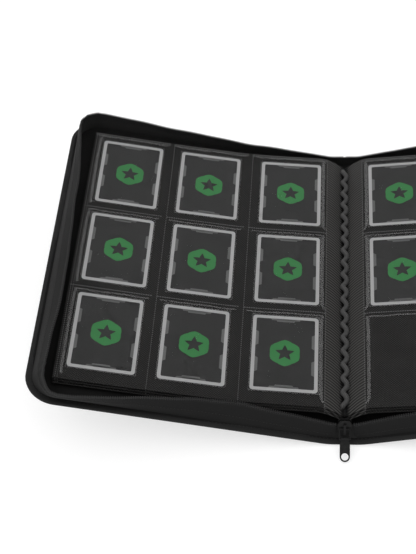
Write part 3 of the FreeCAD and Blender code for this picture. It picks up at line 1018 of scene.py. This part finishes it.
def make_cards(hand, side, filled):
    body = leaf_body(hand, 0)
    card, border, tabs, emblem = Shape(), Shape(), Shape(), Shape()
    sleeve, weld = Shape(), Shape()
    outer = rounded(63.4, 88.4, 3.2)
    inner = rounded(56.6, 81.6, 1.4)
    hexagon = star_outline(15.4, 14.0, 6)
    star = star_outline(9.6, 4.4, 5)
    for row in range(filled):
        for column in range(3):
            def put(points):
                return card_place(side, column, row, points)
            card.sweep([put(ring) for ring in plate_points(rounded(63.0, 88.0, 3.1), -0.16, 0.1)])
            border.sweep([put(at_height(*ring)) for ring in
                          ((outer, 0.1), (outer, 0.17), (inner, 0.17), (inner, 0.1))], True)
            for turn in (0, 1):
                flip = 1 - 2 * turn
                for v in (-16.5, 14.5):
                    tab = tab_outline(18.0, 2.9, 1.6) * (flip, 1) + (-28.3 * flip, v * flip)
                    tabs.sweep([put(at_height(tab, w)) for w in (0.08, 0.15)])
                for length, depth in ((29.0, 2.0), (19.0, 3.6)):
                    tab = tab_outline(length, depth, 1.2)[:, ::-1] * (1, flip)
                    tab += (0, -40.8 * flip)
                    tabs.sweep([put(at_height(tab, w)) for w in (0.08, 0.15)])
            emblem.sweep([put(at_height(*ring)) for ring in
                          ((hexagon, 0.1), (hexagon, 0.17), (star, 0.17), (star, 0.1))], True)
            edge = rounded(66.0, 91.0, 1.0)
            rim = rounded(64.4, 89.4, 0.8)
            sleeve.sweep([put(at_height(ring, w)) for ring, w in ((rim, 0.2), (rim, 0.28))])
            weld.sweep([put(at_height(*ring)) for ring in
                        ((edge, 0.0), (edge, 0.3), (rim, 0.32), (rim, 0.0))], True)
    set_piece(card.make(hand + "_card_fronts"), "card", body=body, replaces=(hand + "_cards",))
    set_piece(border.make(hand + "_card_borders"), "card", "card_border", body=body)
    set_piece(tabs.make(hand + "_card_tabs"), "card", "card_tab", body=body)
    set_piece(emblem.make(hand + "_card_emblems"), "card", "card_emblem", body=body)
    set_piece(sleeve.make(hand + "_sleeve_faces"), "sleeve_film", body=body,
              replaces=(hand + "_card_sleeves",))
    set_piece(weld.make(hand + "_sleeve_edges"), "sleeve_film", "sleeve_weld", body=body)


# ================================================================ gutter and zip end

lacing_z = 16.8
lacing_span = (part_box("gutter_lacing")[0][1] / MM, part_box("gutter_lacing")[1][1] / MM)
lacing_pitch = 16.1
cord_r = 2.5
coil_across = 1.95
coil_up = 1.2
root_slope = math.radians(leaf_runs[0][1])


def make_lacing():
    """Twisted cord that winds along the gutter and ties the leaves together."""
    y = np.arange(lacing_span[0] + cord_r, lacing_span[1] - cord_r, 0.5)
    turn = 2 * math.pi * (y - lacing_span[0]) / lacing_pitch
    wander = 0.15 * np.sin(y / 23.0)
    grow = ease((y - lacing_span[0]) / 5.0) * ease((lacing_span[1] - y) / 5.0)
    path = np.stack([wander - coil_across * grow * np.sin(turn), y,
                     lacing_z + coil_up * grow * np.cos(turn)], -1)
    sections = tube(path, cord_r, 14)
    for end in (0, -1):
        sections[end] = path[end] + (sections[end] - path[end]) * 0.45
    cord = Shape()
    cord.sweep(sections)
    set_piece(cord.make("lacing_cord"), "lacing", body="spine", replaces=("gutter_lacing",))


def make_gutter_web(hand, side):
    """The leaves' bound edges, which run down to the lacing in the middle of the gutter."""
    for index, drop in enumerate(leaf_drops):
        low, high = leaf_span(index)
        y = np.linspace(low, high, 60)
        a = np.array([0.0, 1.2, 2.6, 4.2, 5.7])
        x = leaf_root[0] + 0.12 - a
        top_depth = drop + film_t + pouch_height(index)
        z = leaf_root[1] - top_depth - a * math.tan(root_slope) * (1 - 0.03 * a)
        top = np.stack([np.repeat(side * x[:, None], len(y), 1), np.repeat(y[None, :], len(x), 0),
                        np.repeat(z[:, None], len(y), 1)], -1)
        # Negative flat coordinates make the sheet finish paint the root dark, as painted shade
        # under the lacing.
        flat = np.stack(np.meshgrid(-a / math.cos(root_slope), y, indexing="ij"), -1)
        web = Shape()
        web.shell(top, top - (0, 0, sheet_t), flat)
        piece = set_piece(web.make("%s_page_%d_root" % (hand, index + 1)), "binding",
                          "leaf_sheet", replaces=("binding_strip",))
        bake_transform(piece)


def make_binding():
    """The bound stack under the lacing and the board in the spine."""
    low, high = (np.array(corner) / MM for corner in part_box("binding_strip"))
    stack = Shape()
    z = np.linspace(low[2] - 0.4, lacing_z - cord_r - coil_up + 0.6, 6)
    waist = 1 - 0.35 * np.sin(math.pi * np.linspace(0, 1, 6))
    y = np.linspace(low[1], high[1], 41)
    for sign in (-1.0, 1.0):
        face = np.stack([np.repeat((sign * high[0] * waist)[:, None], len(y), 1),
                         np.repeat(y[None, :], len(z), 0), np.repeat(z[:, None], len(y), 1)], -1)
        stack.shell(face, face * (0.0, 1.0, 1.0) + (sign * 0.05, 0, 0))
    set_piece(stack.make("bound_stack"), "binding", body="spine", replaces=("binding_strip",))

    low, high = (np.array(corner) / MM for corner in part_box("spine_board"))
    inset = 7.0
    board = Shape()
    outline = rounded(high[0] - low[0], high[1] - low[1] - 2 * inset, 2.0)
    board.sweep([at_height(outline, z) for z in (low[2] + 0.9, high[2] - 0.5)])
    set_piece(board.make("spine_stiffener"), "board", body="spine", replaces=("spine_board",))


def make_zip_end():
    """Cloth behind the slider, from the spine to where the rows of teeth meet."""
    low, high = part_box("spine_gusset_bottom")
    foot = Vector((0, low[1] / MM - 1.2, shell_t - 0.4))
    head = Vector((0, high[1] / MM - 0.6, high[2] / MM))
    cloth = Shape()
    x = np.linspace(-11.0, 11.0, 15)
    share = np.linspace(0, 1, 9)
    top = np.array([[(u, foot.y + (head.y - foot.y) * t - 0.5 * math.cos(u / 7.0),
                      foot.z + (head.z - foot.z) * t) for u in x] for t in share])
    cloth.shell(top, top + (0, 0.9, 0.3))
    piece = set_piece(cloth.make("zip_end_cloth"), "wall_fabric", body="zip_end",
                      replaces=("spine_gusset_bottom",))


def finish_frame_nodes():
    """The nodes that keep their own shape get their finish, and the slider's parts softened edges.
    """
    slots = {part["node"]: part["material_slot"] for part in frame["record"]["subparts"]}
    for name, node in frame["nodes"].items():
        node.data.materials.clear()
        node.data.materials.append(finishes[slots[name]])
        if slots[name] == "slider_metal":
            bevel = node.modifiers.new("soft edges", "BEVEL")
            bevel.width = 0.35 * MM
            bevel.segments = 3
            bevel.limit_method = "ANGLE"
            bevel.harden_normals = False


# ================================================================ floor, light and camera

floor_half = 30.0                  # metres, so that low views meet no edge
lamp_place = (-1.5, -0.3, 1.7)     # metres
camera_place = (-0.00692, -0.82975, 1.00319)
camera_target = (-0.13793, 0.00116, 0.020)
camera_roll = math.radians(-6.645)
focal_length = 82.87               # for a sensor 36 mm wide


def stage_and_light():
    floor = bpy.data.meshes.new("floor")
    corners = ((-1, -1), (1, -1), (1, 1), (-1, 1))
    floor.from_pydata([(x * floor_half, y * floor_half, 0) for x, y in corners], [],
                      [(0, 1, 2, 3)])
    plane = placed("floor", floor)
    pale = Finish("pale_floor")
    cloud = pale.noise(pale.place(), 400.0)
    floor.materials.append(pale.shade(pale.mix(cloud, grey(0.46), grey(0.48)), 0.8, 0.1, plain={
        "Emission Color": (1, 1, 1, 1), "Emission Strength": 0.6}))

    world = bpy.data.worlds.new("studio")
    world.use_nodes = True
    sky = world.node_tree.nodes["Background"].inputs
    sky["Color"].default_value = (1, 1, 1, 1)
    sky["Strength"].default_value = 1.0
    bpy.context.scene.world = world
    lamp = bpy.data.lights.new("key", "AREA")
    lamp.size = 1.6
    lamp.energy = 8.0
    holder = placed("key", lamp)
    holder.location = lamp_place
    holder.visible_glossy = False
    holder.rotation_euler = (-holder.location).to_track_quat("-Z", "Y").to_euler()
    bpy.context.scene.view_settings.view_transform = "Standard"


def aim_camera():
    lens = bpy.data.cameras.new("camera")
    lens.lens = focal_length
    lens.sensor_width = 36.0
    lens.sensor_fit = "AUTO"
    holder = placed("camera", lens)
    holder.location = camera_place
    holder.rotation_mode = "QUATERNION"
    turn = (Vector(camera_target) - Vector(camera_place)).to_track_quat("-Z", "Y")
    holder.rotation_quaternion = turn @ Quaternion((0, 0, 1), camera_roll)
    bpy.context.scene.camera = holder


aim_camera()
finish_frame_nodes()
for cover, hand, side in SIDES:
    make_case(cover, side)
    make_wall(cover, side)
    filled = 3 if hand == "left" else 2
    for index in range(3):
        make_sheet(hand, side, index)
        make_film(hand, side, index, filled)
        make_welds(hand, side, index)
    make_welds(hand, side, 0, rear=True)
    make_cards(hand, side, filled)
    make_gutter_web(hand, side)
make_lacing()
make_binding()
make_zip_end()
stage_and_light()
